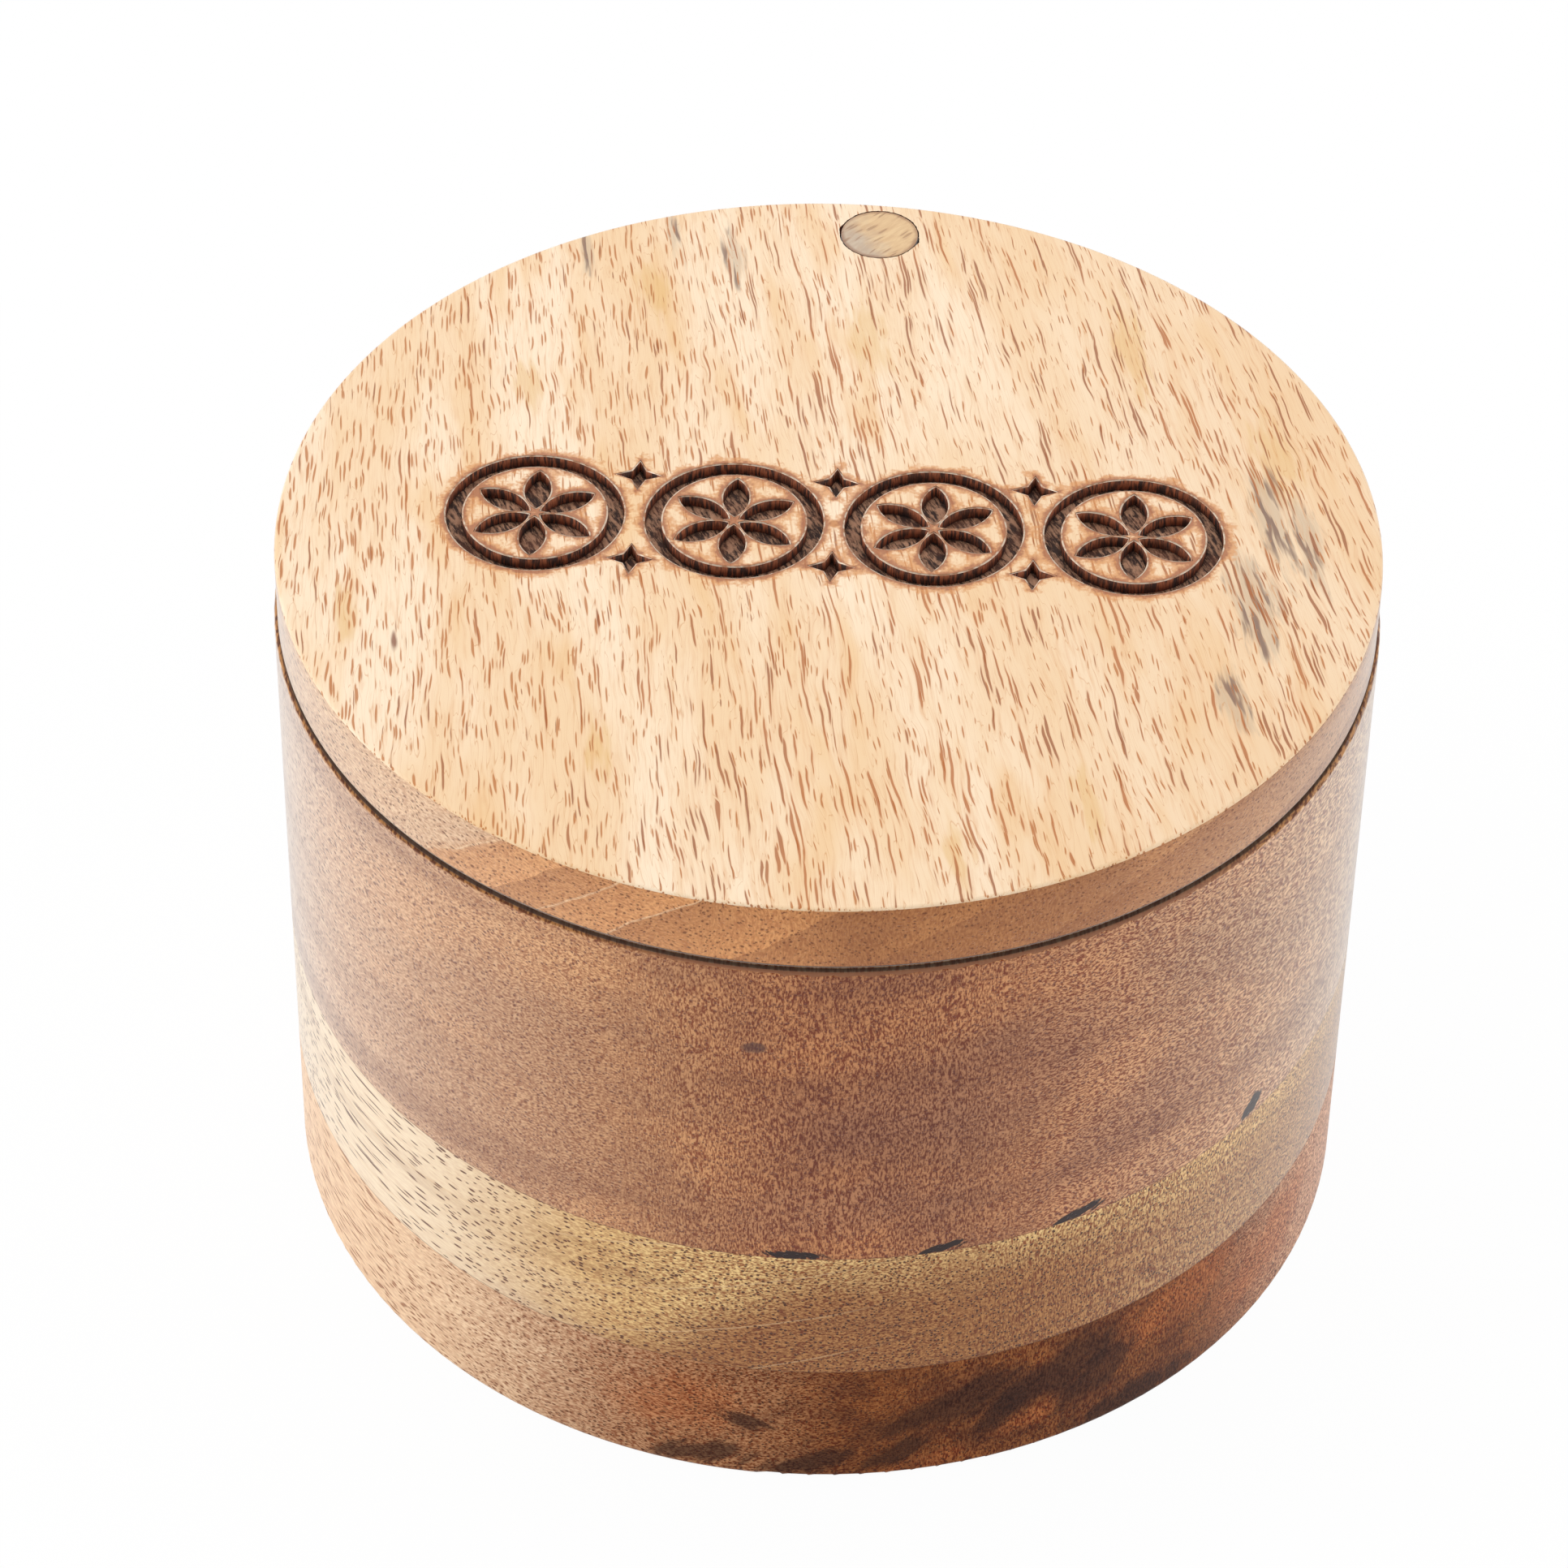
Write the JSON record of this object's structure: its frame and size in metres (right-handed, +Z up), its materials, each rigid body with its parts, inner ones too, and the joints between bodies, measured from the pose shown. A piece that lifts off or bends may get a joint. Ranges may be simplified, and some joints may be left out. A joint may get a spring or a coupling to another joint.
{
  "type": "salt box with swivel lid",
  "caption": "Round turned wooden salt box with a flat lid that swivels about a plugged screw in the wall and shuts on disc magnets.",
  "frame": {"origin": "centre of the underside of the box", "axes": "+Z up; +Y from the centre towards the lid's pivot at the back; -Y towards the magnets at the front"},
  "size_m": [0.108, 0.108, 0.0768],
  "materials": {
    "wood_base": "oiled wood, dark orange-brown with darker blotches",
    "wood_middle": "oiled wood, blond with brown flecks",
    "wood_upper": "oiled wood, reddish brown with fine speckle",
    "wood_lid": "oiled wood, pale peach with fine orange-brown pores",
    "wood_plug": "end grain, speckled grey-brown",
    "screw_steel": "zinc-plated steel",
    "washer_nylon": "natural nylon",
    "magnet_plate": "nickel plate"
  },
  "bodies": {
    "box": {"base_layer": "wood_base", "middle_layer": "wood_middle", "upper_layer": "wood_upper", "pivot_screw": "screw_steel", "spacer_washer": "washer_nylon", "rim_magnet": "magnet_plate"},
    "swivel_lid": {"lid": "wood_lid", "pivot_plug": "wood_plug", "head_washer": "screw_steel", "lid_magnet": "magnet_plate"}
  },
  "joints": [
    {"name": "lid_swivel", "type": "hinge", "parent": "box", "child": "swivel_lid", "pos_m": [0, 0.0484, 0.0694], "axis": [0, 0, 1], "continuous": true}
  ]
}
